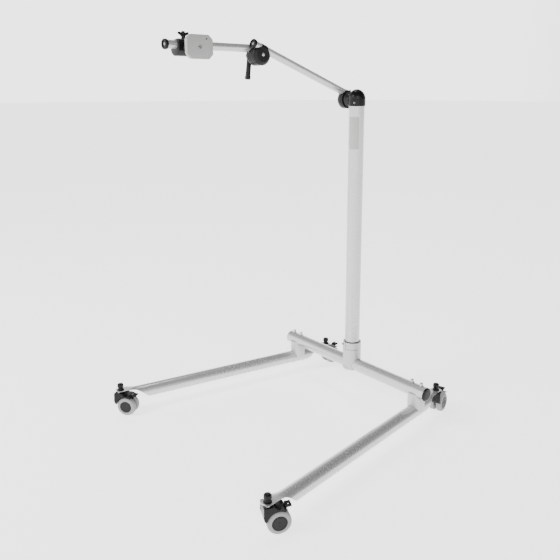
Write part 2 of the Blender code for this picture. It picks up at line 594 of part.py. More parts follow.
def build_device_clamp(tube_x):
    z = upper_axis_at(CLAMP_Y)
    tube_frame = move(tube_x, CLAMP_Y, z) @ Matrix.Rotation(math.radians(90.0 - UPPER_RISE), 4, "X")
    strap = ARM_D / 2 + CLAMP_STRAP
    shape = ([(-strap * 0.6, strap * 0.85)] + arc((0.0, 0.0), strap, 170, 200, 2)
             + [(-13.5, -7.0), (-20.0, -8.5), (-20.5, -11.0)] + arc((-3.0, -5.0), 18.5, 205, 300, 8)
             + [(12.5, -16.5), (15.0, -11.0), (15.0, 6.0), (9.0, 12.5)])
    clamp = outline("device_clamp", shape, CLAMP_LENGTH, tube_frame, BLACK)
    stem_end = PLATE_X - PLATE_THICK - GAP - tube_x
    stem = move(tube_x, CLAMP_Y, z - PLATE_DROP) @ ALONG_X
    join(clamp, rod("stem", STEM_OUT_R, 8.0, stem_end, stem, BLACK, sides=32))
    join(clamp, rod("spigot", SPIGOT_R, 10.0, stem_end + SPIGOT_LENGTH, stem, BLACK, sides=32))
    join(clamp, rod("screw_tower", 6.5, ARM_D / 2 - 1.0, strap + 1.0, tube_frame @ ALONG_Y, BLACK, sides=FEW_SIDES))
    cut(clamp, rod("tube_lane", ARM_D / 2 + GAP, -40, 40, tube_frame))
    cut(clamp, rod("wing_lane", WING_STEM_R + GAP, ARM_D / 2 - 1, strap + 8, tube_frame @ ALONG_Y, sides=FEW_SIDES))

    wing_frame = tube_frame @ ALONG_Y
    tip = ARM_D / 2 + GAP
    wing = rod("wing_screw", WING_STEM_R, tip, strap + 9.0, wing_frame, BLACK, sides=FEW_SIDES)
    crown = strap + WING_RISE - 12.0
    join(wing, rod("collar", 4.6, strap + 1.0 + GAP, crown + 4, wing_frame, BLACK, sides=FEW_SIDES))
    half = WING_SPAN / 2
    wings = [(-half, crown + 8.0), (-half, crown + 12.0), (-half + 4, crown + 12.5), (-4.0, crown + 10.5),
             (-3.0, crown + 13.6), (3.0, crown + 13.6), (4.0, crown + 10.5), (half - 4, crown + 12.5),
             (half, crown + 12.0), (half, crown + 8.0), (5.0, crown + 1.0), (4.0, crown - 1.0),
             (-4.0, crown - 1.0), (-5.0, crown + 1.0)]
    blade = outline("blade", wings, 5.0, wing_frame @ Matrix.Rotation(math.radians(90.0), 4, "Z")
                    @ Matrix.Rotation(math.radians(90.0), 4, "X"), BLACK)
    join(wing, blade)

    plate_place = move(PLATE_X - PLATE_THICK / 2, CLAMP_Y, z - PLATE_DROP) @ Matrix.Rotation(
        math.radians(90.0), 4, "Z") @ Matrix.Rotation(math.radians(90.0), 4, "X")
    w, h, c = PLATE_WIDTH / 2, PLATE_HEIGHT / 2, PLATE_CLIP
    plate_shape = [(-w, -h + c), (-w, h - c), (-w + c, h), (w - c, h), (w, h - c), (w, -h + c), (w - c, -h),
                   (-w + c, -h)]
    plate = outline("device_plate", plate_shape, PLATE_THICK, plate_place, PLATE)
    soften = plate.modifiers.new("soften", "BEVEL")
    soften.width = 1.6 * MM
    soften.segments = 2
    soften.limit_method = "ANGLE"
    soften.angle_limit = math.radians(50.0)
    stem_face = PLATE_X - PLATE_THICK
    face = move(0.0, CLAMP_Y, z - PLATE_DROP) @ ALONG_X
    cut(plate, rod("plate_socket", SPIGOT_R + RUN, stem_face - 2, stem_face + SPIGOT_LENGTH + GAP, face, sides=32))
    cut(plate, rod("centre_dimple", 3.4, PLATE_X - 1.6, PLATE_X + 2, face, sides=FEW_SIDES))
    cut(plate, rod("index_hole", 1.9, PLATE_X - 4.0, PLATE_X + 2,
                   move(0.0, CLAMP_Y + 16.0, z - PLATE_DROP + 16.0) @ ALONG_X, sides=16))


build_cross_tube()
for leg_name, leg_side in (("left", -1), ("right", 1)):
    build_leg(leg_name, leg_side)
    build_saddle(leg_name, leg_side)
    build_caster(f"front_{leg_name}", leg_side, 1)
    build_caster(f"rear_{leg_name}", leg_side, -1)
build_sleeve()
build_column()
build_lower_arm()
build_device_clamp(build_elbow())
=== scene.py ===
import json
import math

import bmesh
import bpy
from mathutils import Matrix, Vector


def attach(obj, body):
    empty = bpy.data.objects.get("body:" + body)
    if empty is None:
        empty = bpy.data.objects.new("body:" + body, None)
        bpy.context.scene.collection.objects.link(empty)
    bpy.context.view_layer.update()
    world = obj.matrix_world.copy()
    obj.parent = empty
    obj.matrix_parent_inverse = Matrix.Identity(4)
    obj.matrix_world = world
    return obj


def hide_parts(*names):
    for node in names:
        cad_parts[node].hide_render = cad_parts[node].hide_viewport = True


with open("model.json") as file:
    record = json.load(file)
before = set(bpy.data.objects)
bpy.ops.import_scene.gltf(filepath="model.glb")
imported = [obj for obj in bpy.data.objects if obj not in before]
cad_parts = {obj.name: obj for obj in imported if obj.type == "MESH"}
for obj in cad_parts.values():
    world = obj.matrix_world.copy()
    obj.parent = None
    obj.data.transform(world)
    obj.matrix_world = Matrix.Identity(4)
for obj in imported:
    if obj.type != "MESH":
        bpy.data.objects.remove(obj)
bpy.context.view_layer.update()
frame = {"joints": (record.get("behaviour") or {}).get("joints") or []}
mm = 0.001
rollUp = Matrix.Rotation(math.radians(90), 4, "X")      # a side outline stands upright
alongX = Matrix.Rotation(math.radians(90), 4, "Y")
alongY = Matrix.Rotation(math.radians(-90), 4, "X")
casterNames = ["front_left", "front_right", "rear_left", "rear_right"]
joints = {joint["name"]: joint for joint in frame["joints"]}


# materials: sockets as Python expressions

class Wire:
    def __init__(self, owner, socket):
        self.owner = owner
        self.socket = socket

    def math(self, operation, other):
        return self.owner.add("ShaderNodeMath", {"operation": operation}, [self, other])

    def __add__(self, other):
        return self.math("ADD", other)

    def __mul__(self, other):
        return self.math("MULTIPLY", other)

    def __sub__(self, other):
        return self.math("SUBTRACT", other)

    def __rsub__(self, other):
        return self.owner.add("ShaderNodeMath", {"operation": "SUBTRACT"}, [other, self])

    __radd__ = __add__
    __rmul__ = __mul__


class NodeSet:
    def __init__(self, tree):
        self.tree = tree

    def add(self, kind, settings, values, output=0):
        node = self.tree.nodes.new(kind)
        for key, value in settings.items():
            if key == "stops":
                ramp = node.color_ramp
                while len(ramp.elements) < len(value):
                    ramp.elements.new(0.5)
                for stop, (position, shade) in zip(ramp.elements, value):
                    stop.position = position
                    stop.color = (shade, shade, shade, 1)
            else:
                setattr(node, key, value)
        for key, value in values.items() if isinstance(values, dict) else enumerate(values):
            if isinstance(value, Wire):
                self.tree.links.new(value.socket, node.inputs[key])
            else:
                node.inputs[key].default_value = value
        return Wire(self, node.outputs[output])


class Finish(NodeSet):
    def __init__(self, name, roughness, metallic, coat=0.0, ior=1.5):
        self.material = bpy.data.materials.new(name)
        self.material.use_nodes = True
        super().__init__(self.material.node_tree)
        self.shader = self.tree.nodes["Principled BSDF"]
        settings = {"Roughness": roughness, "Metallic": metallic, "Coat Weight": coat,
                    "Coat Roughness": 0.18, "IOR": ior}
        for socket, value in settings.items():
            self.shader.inputs[socket].default_value = value
        self.place = self.add("ShaderNodeTexCoord", {}, {}, "Object")

    def noise(self, scale, detail=2.0, stretch=None):
        where = self.place
        if stretch:
            where = self.add("ShaderNodeMapping", {}, {"Vector": where, "Scale": stretch})
        return self.add("ShaderNodeTexNoise", {}, {"Vector": where, "Scale": scale, "Detail": detail})

    def ramp(self, wire, stops):
        return self.add("ShaderNodeValToRGB", {"stops": stops}, {"Fac": wire})

    def mixColour(self, amount, first, second):
        return self.add("ShaderNodeMix", {"data_type": "RGBA"}, {0: amount, 6: (*first, 1), 7: (*second, 1)}, 2)

    def feed(self, socket, wire):
        self.tree.links.new(wire.socket, self.shader.inputs[socket])

    def bump(self, height, strength, distance):
        wire = self.add("ShaderNodeBump", {}, {"Strength": strength, "Distance": distance, "Height": height},
                        "Normal")
        self.feed("Normal", wire)


def satinPaint(name, light, dark, speck, metallic, roughness):
    paint = Finish(name, roughness, metallic, coat=0.25)
    cloud = paint.noise(9, 3)
    grit = paint.noise(1500, 2)
    dust = paint.ramp(paint.noise(260, 4), [(0.56, 0), (0.72, 1)])
    paint.feed("Base Color", paint.mixColour(cloud * 0.7 + dust * speck, light, dark))
    paint.feed("Roughness", roughness - 0.06 + cloud * 0.09 + dust * 0.05)
    paint.bump(grit, 0.12, 0.00012)
    return paint.material


def mouldedPlastic(name, light, dark, roughness, grain):
    plastic = Finish(name, roughness, 0.0, ior=1.27)
    cloud = plastic.noise(30, 3)
    rub = plastic.ramp(plastic.noise(120, 5), [(0.5, 0), (0.78, 1)])
    plastic.feed("Base Color", plastic.mixColour(cloud * 0.6 + rub * 0.4, dark, light))
    plastic.feed("Roughness", roughness - 0.07 + cloud * 0.1 + rub * 0.08)
    cells = plastic.add("ShaderNodeTexVoronoi", {}, {"Vector": plastic.place, "Scale": grain}, "Distance")
    plastic.bump(cells, 0.25, 0.00015)
    return plastic.material


def machinedSteel(name, tint, roughness):
    steel = Finish(name, roughness, 1.0)
    turning = steel.noise(900, 2, stretch=(1, 1, 7))
    smudge = steel.noise(60, 3)
    steel.feed("Base Color", steel.mixColour(smudge, tint, tuple(c * 0.72 for c in tint)))
    steel.feed("Roughness", roughness - 0.05 + turning * 0.14 + smudge * 0.08)
    steel.bump(turning, 0.1, 0.00008)
    return steel.material


silver = satinPaint("satin silver paint", (0.50, 0.50, 0.497), (0.43, 0.431, 0.435), 0.08, 0.62, 0.27)
castSilver = satinPaint("cast silver", (0.48, 0.48, 0.477), (0.40, 0.40, 0.402), 0.2, 0.4, 0.4)
bareEdge = machinedSteel("cut edge", (0.78, 0.78, 0.77), 0.3)
steel = machinedSteel("bright screw", (0.55, 0.55, 0.545), 0.26)
black = mouldedPlastic("black moulding", (0.0075, 0.0075, 0.008), (0.0035, 0.0035, 0.0038), 0.42, 1900)
glossBlack = mouldedPlastic("smooth black", (0.005, 0.005, 0.0053), (0.0025, 0.0025, 0.0027), 0.27, 2600)
neckGrey = mouldedPlastic("cast grey joint", (0.02, 0.02, 0.0205), (0.012, 0.012, 0.0125), 0.3, 1500)
tyreGrey = mouldedPlastic("grey tyre", (0.30, 0.30, 0.296), (0.24, 0.24, 0.236), 0.62, 1400)
discGrey = mouldedPlastic("wheel disc", (0.013, 0.0135, 0.014), (0.009, 0.0093, 0.0096), 0.4, 2100)
capGrey = mouldedPlastic("cap centre", (0.28, 0.28, 0.275), (0.22, 0.22, 0.22), 0.45, 2000)
plateGrey = satinPaint("plate paint", (0.27, 0.27, 0.264), (0.23, 0.23, 0.225), 0.12, 0.1, 0.5)
stickerFilm = mouldedPlastic("blank film", (0.36, 0.357, 0.35), (0.32, 0.317, 0.31), 0.3, 500)
# painted shade: near-black colour for the faces inside hex socket pockets, standing in for the shade that falls
# in the recess
dark = mouldedPlastic("painted recess shade", (0.012, 0.012, 0.012), (0.006, 0.006, 0.006), 0.7, 900)
print("materials ready")


# modelling helpers

def joined(first, second):
    mesh = bpy.data.meshes.new("part")
    second.to_mesh(mesh)
    first.from_mesh(mesh)
    second.free()
    bpy.data.meshes.remove(mesh)
    return first


def tidied(bm):
    bmesh.ops.remove_doubles(bm, verts=bm.verts, dist=0.0005)
    bmesh.ops.recalc_face_normals(bm, faces=bm.faces)
    return bm


def lathe(profile, steps=72, skin=0, place=Matrix()):
    bm = bmesh.new()
    points = [bm.verts.new((radius, 0, height)) for radius, height in profile]
    edges = [bm.edges.new(pair) for pair in zip(points, points[1:])]
    bmesh.ops.spin(bm, geom=points + edges, cent=(0, 0, 0), axis=(0, 0, 1), angle=math.tau, steps=steps,
                   use_merge=True)
    tidied(bm)
    for face in bm.faces:
        face.material_index = skin
    bm.transform(place)
    return bm


def ring(outer, inner, low, high, soft=0.6):
    return [(inner, low), (outer - soft, low), (outer, low + soft), (outer, high - soft),
            (outer - soft, high), (inner, high), (inner, low)]


def slab(points, thickness, soft=0.0, skin=0, place=Matrix(), segments=3):
    bm = bmesh.new()
    face = bm.faces.new([bm.verts.new((x, y, -thickness / 2)) for x, y in points])
    grown = bmesh.ops.extrude_face_region(bm, geom=[face])["geom"]
    bmesh.ops.translate(bm, verts=[g for g in grown if isinstance(g, bmesh.types.BMVert)], vec=(0, 0, thickness))
    tidied(bm)
    if soft:
        rims = [e for e in bm.edges if e.calc_face_angle(0) > math.radians(50)]
        bmesh.ops.bevel(bm, geom=rims, offset=soft, segments=segments, profile=0.5, affect="EDGES",
                        material=-1, clamp_overlap=True)
    for f in bm.faces:
        f.material_index = skin
    bm.transform(place)
    return bm


def rod(radius, low, high, place=Matrix(), steps=64, skin=0, soft=0.0):
    profile = [(0, low), (radius - soft, low), (radius, low + soft), (radius, high - soft),
               (radius - soft, high), (0, high)]
    return lathe(profile if soft else [(0, low), (radius, low), (radius, high), (0, high)], steps, skin, place)


def tube(radius, wall, low, high, place=Matrix(), steps=96, skin=0):
    return lathe(ring(radius, radius - wall, low, high, 0.25), steps, skin, place)


def arcPoints(centre, radius, start, end, steps):
    turns = [math.radians(start + (end - start) * i / steps) for i in range(steps + 1)]
    return [(centre[0] + radius * math.cos(t), centre[1] + radius * math.sin(t)) for t in turns]


def asObject(bm):
    mesh = bpy.data.meshes.new("shape")
    bm.to_mesh(mesh)
    bm.free()
    shape = bpy.data.objects.new("shape", mesh)
    bpy.context.scene.collection.objects.link(shape)
    return shape


def carved(bm, *cutters):
    body = asObject(bm)
    tools = [asObject(cutter) for cutter in cutters]
    for tool in tools:
        step = body.modifiers.new("cut", "BOOLEAN")
        step.operation = "DIFFERENCE"
        step.solver = "EXACT"
        step.use_self = True
        step.object = tool
    shown = body.evaluated_get(bpy.context.evaluated_depsgraph_get())
    result = bmesh.new()
    result.from_mesh(shown.to_mesh())
    for item in [body] + tools:
        bpy.data.objects.remove(item, do_unlink=True)
    return result


def finishPiece(name, bm, body, skins, replaced=(), sharp=32):
    bm.transform(Matrix.Scale(mm, 4))
    mesh = bpy.data.meshes.new(name)
    bm.to_mesh(mesh)
    bm.free()
    for skin in skins:
        mesh.materials.append(skin)
    mesh.shade_smooth()
    mesh.set_sharp_from_angle(angle=math.radians(sharp))
    piece = bpy.data.objects.new(name, mesh)
    bpy.context.scene.collection.objects.link(piece)
    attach(piece, body)
    if replaced:
        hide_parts(*replaced)
    return piece


def mmPoint(values):
    return Vector(values) / mm


def facing(origin, axis, side):
    z = Vector(axis).normalized()
    x = (Vector(side) - z * z.dot(Vector(side))).normalized()
    y = z.cross(x)
    return Matrix.Translation(origin) @ Matrix((x, y, z)).transposed().to_4x4()


# camera, light and floor

photoView = {"spot": (1.22162, -1.22036, 0.83631), "turn": 49.94, "down": 13.41, "lens": 42.19,
             "shift": (-0.0340, -0.0547)}


def makeCamera():
    turn = math.radians(photoView["turn"])
    down = math.radians(photoView["down"])
    right = Vector((math.cos(turn), math.sin(turn), 0))
    ahead = Vector((-math.sin(turn) * math.cos(down), math.cos(turn) * math.cos(down), -math.sin(down)))
    camera = bpy.data.objects.new("camera", bpy.data.cameras.new("camera"))
    bpy.context.scene.collection.objects.link(camera)
    lens = camera.data
    lens.sensor_width = 36
    lens.lens = photoView["lens"]
    lens.shift_x, lens.shift_y = photoView["shift"]
    lens.clip_end = 200
    columnFoot = Vector((*joints["column_turn"]["pos_m"][:2], 0))
    camera.matrix_world = Matrix.Translation(columnFoot + Vector(photoView["spot"])) @ Matrix(
        (right, right.cross(ahead), -ahead)).transposed().to_4x4()
    bpy.context.scene.camera = camera


def makeLight():
    softBoxes = [("keyLight", (-0.9, -2.6, 2.2), 1.0, 70), ("fillLight", (2.6, -1.4, 2.2), 0.7, 16),
                 ("topLight", (-1.0, 0.4, 3.4), 0.8, 22)]
    for name, spot, size, power in softBoxes:
        lamp = bpy.data.lights.new(name, "AREA")
        lamp.size = size
        lamp.energy = power
        light = bpy.data.objects.new(name, lamp)
        bpy.context.scene.collection.objects.link(light)
        light.matrix_world = Matrix.Translation(spot) @ (
            Vector((0, 0.1, 0.4)) - Vector(spot)).to_track_quat("-Z", "Y").to_matrix().to_4x4()
    world = bpy.data.worlds.new("studio")
    bpy.context.scene.world = world
    world.use_nodes = True
    nodes = NodeSet(world.node_tree)
    sky = world.node_tree.nodes["Background"]
    where = nodes.add("ShaderNodeTexCoord", {}, {}, "Generated")
    fades = []
    for heading, start, end, least in (((0.644, 0.765, 0), 0.30, 0.85, 0.14), ((0, 0, 1), 0.22, 0.62, 0.10)):
        lean = nodes.add("ShaderNodeVectorMath", {"operation": "DOT_PRODUCT"}, {0: where, 1: heading}, "Value")
        fades.append(nodes.add("ShaderNodeMapRange", {}, {
            "Value": lean, "From Min": start, "From Max": end, "To Min": 1.0, "To Max": least}))
    light = fades[0] * fades[1] * 3.3                    # pale all round, dark overhead and on the right
    world.node_tree.links.new(light.socket, sky.inputs["Strength"])
    sky.inputs["Color"].default_value = (1, 1, 1, 1)


def makeFloor():
    bm = bmesh.new()
    bmesh.ops.create_grid(bm, x_segments=1, y_segments=1, size=60)
    mesh = bpy.data.meshes.new("studioFloor")
    bm.to_mesh(mesh)
    bm.free()
    pale = Finish("pale floor", 0.8, 0.0)
    pale.feed("Base Color", pale.mixColour(pale.noise(0.6), (0.93, 0.93, 0.93), (0.90, 0.90, 0.90)))
    pale.shader.inputs["Emission Color"].default_value = (1, 1, 1, 1)
    pale.shader.inputs["Emission Strength"].default_value = 2.0
    mesh.materials.append(pale.material)
    ground = bpy.data.objects.new("studioFloor", mesh)
    bpy.context.scene.collection.objects.link(ground)
    ground.location.z = -0.0006


makeCamera()
makeLight()
makeFloor()
print("camera, light and floor ready")


# base

base = {"tubeR": 17.5, "wall": 2.0, "crossZ": 100, "legZ": 48, "crossHalf": 266, "legSpacing": 469,
        "splay": 9.2, "front": 551, "rear": 102, "nose": 11, "flat": 46, "slope": 30, "tongueThick": 3,
        "tongueHalf": 13.5, "saddleR": 22, "topPitch": 15, "lowPitch": 17}
foot = mmPoint(joints["column_turn"]["pos_m"])
foot.z = 0


def at(x, y, z):
    return Matrix.Translation(foot + Vector((x, y, z)))


def legPlace(side):
    heading = math.radians(-90 + side * base["splay"])
    return at(side * base["legSpacing"] / 2, 0, base["legZ"]) @ Matrix.Rotation(heading, 4, "Z")


def socketScrew(headR, headH, place, skin=0, pocket=0.5, washer=False):
    profile = [(0, headH - 0.5 * headH), (headR * pocket, headH * 0.5), (headR * pocket, headH - 0.4),
               (headR * pocket + 0.3, headH), (headR - 0.6, headH), (headR, headH - 0.6), (headR, 0), (0, 0)]
    bm = lathe(profile, 48, skin)
    for vert in bm.verts:
        reach = math.hypot(vert.co.x, vert.co.y)
        if reach > headR - 0.05 and headH > 3 and vert.co.z < headH - 0.5:
            step = round(math.atan2(vert.co.y, vert.co.x) / math.tau * 48) % 2
            vert.co.x *= 1 - 0.02 * step
            vert.co.y *= 1 - 0.02 * step
    if washer:
        joined(bm, lathe(ring(headR + 1.3, 1.5, -0.9, -0.05, 0.2), 48, skin))
    # faces inside the hex pocket take slot 1; the pieces give that slot the near-black painted recess shade
    for face in bm.faces:
        middle = face.calc_center_median()
        if math.hypot(middle.x, middle.y) < headR * pocket * 0.98 and middle.z < headH - 0.3:
            face.material_index = 1
    bm.transform(place)
    return bm


def crossTube():
    place = at(0, 0, base["crossZ"]) @ alongX
    bm = tube(base["tubeR"], base["wall"], -base["crossHalf"], base["crossHalf"], place, 112)
    finishPiece("crossTubeBody", bm, "base", [silver], ["cross_tube"])
    for hand, side in (("left", -1), ("right", 1)):
        r = base["tubeR"]
        profile = [(0, 3.6), (6, 3.55), (11, 3.3), (14.5, 2.7), (16.4, 1.7), (r, 0.7), (r, 0.3),
                   (15.1, 0.3), (15.1, -9.8), (0, -9.8)]
        end = at(side * base["crossHalf"], 0, base["crossZ"]) @ Matrix.Rotation(
            math.radians(90 * side), 4, "Y")
        cap = lathe(profile, 96, 0, end)
        joined(cap, lathe(ring(10.2, 9.6, 3.2, 3.62, 0.1), 96, 0, end))
        finishPiece("crossCap_" + hand, cap, "base", [glossBlack], ["cross_cap_" + hand])


press = {"from": 50, "to": 14, "slices": 2.5, "cutLevel": 12.7, "cutStart": 34, "cutEnd": 78, "spread": 1.06}


def legEndCutter(way, reach, place, level):
    low = -base["tubeR"] - 1
    past = way * (reach + 30)
    curve = []
    for i in range(17):                                  # the lower half is cut away in a soft curve
        t = i / 16
        ease = t * t * (3 - 2 * t)
        curve.append((way * (reach - press["cutStart"] - (press["cutEnd"] - press["cutStart"]) * t),
                      level + (low - level) * (0.35 * ease + 0.65 * t * t)))
    return slab([(past, level)] + curve + [(past, low)], 60, place=place @ rollUp)


def noseCutter(way, reach, place):
    nose = way * (reach + base["nose"])
    half = base["tongueHalf"] - 0.6
    corner = 5
    edge = [(nose - way * 20, half + 9), (nose - way * 20, half + 0.5), (nose - way * corner, half)]
    edge += [(nose - way * corner * (1 - math.sin(math.radians(a))), half - corner * (1 - math.cos(
        math.radians(a)))) for a in (20, 40, 60, 80, 90)]
    edge += [(x, -y) for x, y in reversed(edge)]
    edge += [(way * (reach + 40), -40), (way * (reach + 40), 40)]
    return slab(edge, 60, place=place)


def pressFlat(bm, way, reach):
    r = base["tubeR"]
    for i in range(int((press["from"] + base["nose"]) / press["slices"])):
        spot = way * (reach - press["from"] + i * press["slices"])
        bmesh.ops.bisect_plane(bm, geom=bm.verts[:] + bm.edges[:] + bm.faces[:], dist=0.0001,
                               plane_co=(spot, 0, 0), plane_no=(1, 0, 0))
    for vert in bm.verts:
        back = reach - way * vert.co.x
        if back > press["from"] or vert.co.z < 5:
            continue
        t = min(1, (press["from"] - back) / (press["from"] - press["to"]))
        ease = t * t * (3 - 2 * t)
        rim = math.hypot(vert.co.y, vert.co.z)
        flatY = rim * math.atan2(vert.co.y, vert.co.z) * press["spread"]
        flatZ = r - (r - rim) * 1.4
        vert.co.y += (flatY - vert.co.y) * ease
        vert.co.z += (flatZ - vert.co.z) * ease


def leg(hand, side):
    place = legPlace(side)
    here = Matrix()
    ends = ((1, base["front"]), (-1, base["rear"]))
    low = -base["rear"] - base["nose"] - 2
    high = base["front"] + base["nose"] + 2
    bm = tube(base["tubeR"], base["wall"], low, high, alongX, 112)
    bm = carved(bm, *[legEndCutter(way, reach, here, press["cutLevel"]) for way, reach in ends])
    for way, reach in ends:
        pressFlat(bm, way, reach)
    tidied(bm)
    cutters = [noseCutter(way, reach, here) for way, reach in ends]
    cutters += [rod(4.8, 5, 30, Matrix.Translation((way * reach, 0, 0)), 48) for way, reach in ends]
    bm = carved(bm, *cutters)
    bm.transform(place)
    finishPiece("legTube_" + hand, bm, "base", [silver], ["leg_" + hand], 40)
    for end, way, reach in (("front", 1, base["front"]), ("rear", -1, base["rear"])):
        face = way * (reach - 66)
        back = way * (reach - 80)
        plug = rod(15.1, min(face, back), max(face, back), place @ alongX, 96, 0, 0.6)
        plug = carved(plug, legEndCutter(way, reach - 1.2, place, press["cutLevel"] - 0.5))
        finishPiece(f"legPlug_{end}_{hand}", plug, "base", [glossBlack],
                    [f"leg_plug_{end}_{hand}"])


def saddle(hand, side):
    spot = side * base["legSpacing"] / 2
    low = base["legZ"] + 2
    high = base["crossZ"] - 2
    block = rod(base["saddleR"], low, high, at(spot, 0, 0), 112, 0, 1.1)
    block = carved(block, rod(17.8, -70, 70, legPlace(side) @ alongX, 112),
                   rod(17.8, -70, 70, at(spot, 0, base["crossZ"]) @ alongX, 112))
    rims = [e for e in block.edges if e.is_manifold and e.calc_face_angle(0) > math.radians(40)]
    bmesh.ops.bevel(block, geom=rims, offset=0.35, segments=2, profile=0.5, affect="EDGES", material=-1,
                    clamp_overlap=True)
    finishPiece("saddleBlock_" + hand, block, "base", [castSilver], ["saddle_" + hand])
    for i, step in enumerate((-1, 1)):
        top = at(spot + step * base["topPitch"], 0, base["crossZ"] + base["tubeR"] + 1.2)
        screw = socketScrew(4.2, 7.1, top, washer=True)
        joined(screw, rod(2.4, -9.5, 0.2, top, 32))
        finishPiece(f"topScrew_{hand}_{i + 1}", screw, "base", [steel, dark],
                    [f"top_screw_{hand}_{i + 1}"])
        under = legPlace(side) @ Matrix.Translation((step * base["lowPitch"], 0, -base["tubeR"] - 0.3))
        under = under @ Matrix.Rotation(math.pi, 4, "X")
        screw = socketScrew(4.2, 2.5, under)
        joined(screw, rod(2.4, -9, 0.2, under, 32))
        finishPiece(f"lowScrew_{hand}_{i + 1}", screw, "base", [steel, dark],
                    [f"low_screw_{hand}_{i + 1}"])


crossTube()
for legHand, legSide in (("left", -1), ("right", 1)):
    leg(legHand, legSide)
    saddle(legHand, legSide)
print("base ready")


# casters

caster = {"wheelR": 25, "hubR": 15.7, "trail": 20, "inner": 4.1, "outer": 18.1, "skinIn": 26.4,
          "skinOut": 28.6, "tongueTop": 65.5, "bossTop": 62.2, "bossLow": 50.8, "ribs": 120}


def wheel(name, hand):
    spin = joints[f"spin_{hand}_{name}"]
    outwards = Vector(spin["axis"]) * (1 if hand == "a" else -1)
    centre = mmPoint(spin["pos_m"]) - outwards * 11
    place = facing(centre, outwards, (0, 0, 1))
    a, b = caster["inner"], caster["outer"]
    r = caster["wheelR"]
    tyre = lathe([(15.9, a), (23.2, a), (24.3, a + 0.7), (24.9, a + 2), (r, a + 4), (r, b - 6.4),
                  (24.8, b - 4.6), (24.2, b - 3.0), (23.0, b - 1.7), (21.2, b - 0.9), (18.6, b - 0.4),
                  (16.7, b - 0.3), (15.9, b - 0.9), (15.9, a)], caster["ribs"])
    for vert in tyre.verts:                              # fine tread ribs
        if math.hypot(vert.co.x, vert.co.y) > r - 0.05:
            step = round(math.atan2(vert.co.y, vert.co.x) / math.tau * caster["ribs"]) % 3
            if step == 0:
                vert.co.x *= 0.985
                vert.co.y *= 0.985
    disc = lathe([(0, b - 0.1), (1.9, b - 0.1), (2.6, b - 0.7), (4.8, b - 0.9), (5.3, b - 0.45),
                  (12.8, b - 0.35), (13.2, b - 0.7), (13.8, b - 0.7), (14.2, b - 0.3), (15.1, b - 0.3),
                  (15.7, b - 0.9), (15.7, a + 0.4), (3.15, a + 0.4), (3.15, b - 2.7), (0, b - 2.7)], 96, 1)
    joined(tyre, disc)
    tyre.transform(place)
    finishPiece(f"wheel_{name}_{hand}", tyre, f"wheel_{hand}_{name}", [tyreGrey, discGrey],
                [f"caster_wheel_{name}_{hand}"])


def casterPlace(name):
    swivel = mmPoint(joints["swivel_" + name]["pos_m"])
    side = Vector(joints["spin_a_" + name]["axis"])
    return Matrix.Translation((swivel.x, swivel.y, 0)) @ Matrix(
        (side.cross((0, 0, 1)), side, (0, 0, 1))).transposed().to_4x4()


def hood(name, place):
    hub = (caster["trail"], caster["wheelR"])
    upright = place @ rollUp
    shell = arcPoints(hub, caster["skinIn"], 62, 168, 40) + [(-8.2, 31.5), (-10.4, 35), (-11.4, 40)]
    shell += [(-11.5, 60.4), (-10.4, 62.1), (8.6, 62.1), (11.2, 60.6), (14.6, 56.6)]
    shell += arcPoints(hub, 30.4, 96, 62, 14)
    bm = slab(shell, 35.5, 0, 0, rollUp)
    corners = [e for e in bm.edges if abs((e.verts[0].co - e.verts[1].co).z) > 3
               and max(e.verts[0].co.x, e.verts[1].co.x) < -8]
    corners += [e for e in bm.edges if abs(e.verts[0].co.z - 62.1) < 0.01 and abs(e.verts[1].co.z - 62.1) < 0.01
                and abs((e.verts[0].co - e.verts[1].co).x) > 5]
    bmesh.ops.bevel(bm, geom=corners, offset=5.5, segments=6, profile=0.5, affect="EDGES", material=-1,
                    clamp_overlap=True)
    bm.transform(place)
    web = arcPoints(hub, 27.2, 170, 80, 30) + arcPoints((36.8, 54.1), 3.2, 120, -60, 12) + arcPoints(
        hub, 8, 0, -200, 20)
    joined(bm, slab(web, 7.2, 0.5, 0, upright))
    bm = carved(bm, rod(3.15, -30, 30, place @ Matrix.Translation((hub[0], 0, hub[1])) @ alongY, 40),
                rod(4.5, 40, 70, place, 48))
    pin = place @ Matrix.Translation((36.8, 0, 54.1)) @ alongY
    bm = carved(bm, rod(1.75, -10, 10, pin, 24))
    finishPiece("casterHood_" + name, bm, "swivel_" + name, [glossBlack],
                ["caster_hood_" + name])
    axle = rod(2.9, -15.0, 15.0, place @ Matrix.Translation((hub[0], 0, hub[1])) @ alongY, 40, 0, 0.3)
    finishPiece("casterAxle_" + name, axle, "swivel_" + name, [steel],
                ["caster_axle_" + name])


def nut(name, place):
    t = caster["tongueTop"]
    profile = [(0, t + 18.4), (4.6, t + 18.3), (6.6, t + 17.6), (7.7, t + 16.4), (8.2, t + 14.6),
               (8.2, t + 9.4), (7.8, t + 8.2), (6.9, t + 7.4), (6.5, t + 6.6), (6.5, t + 3.9),
               (6.9, t + 3.1), (8.5, t + 2.7), (9.0, t + 2.2), (9.0, t + 0.8), (8.8, t + 0.3),
               (4.2, t + 0.3), (4.2, 53), (0, 53)]
    bm = lathe(profile, 96)
    for vert in bm.verts:                                # shallow grips round the cap
        reach = math.hypot(vert.co.x, vert.co.y)
        if reach > 7.9 and vert.co.z > t + 9:
            step = round(math.atan2(vert.co.y, vert.co.x) / math.tau * 96) % 8
            if step < 2:
                vert.co.x *= 0.955
                vert.co.y *= 0.955
    bm.transform(place)
    finishPiece("casterNut_" + name, bm, "base", [glossBlack], ["caster_nut_" + name])


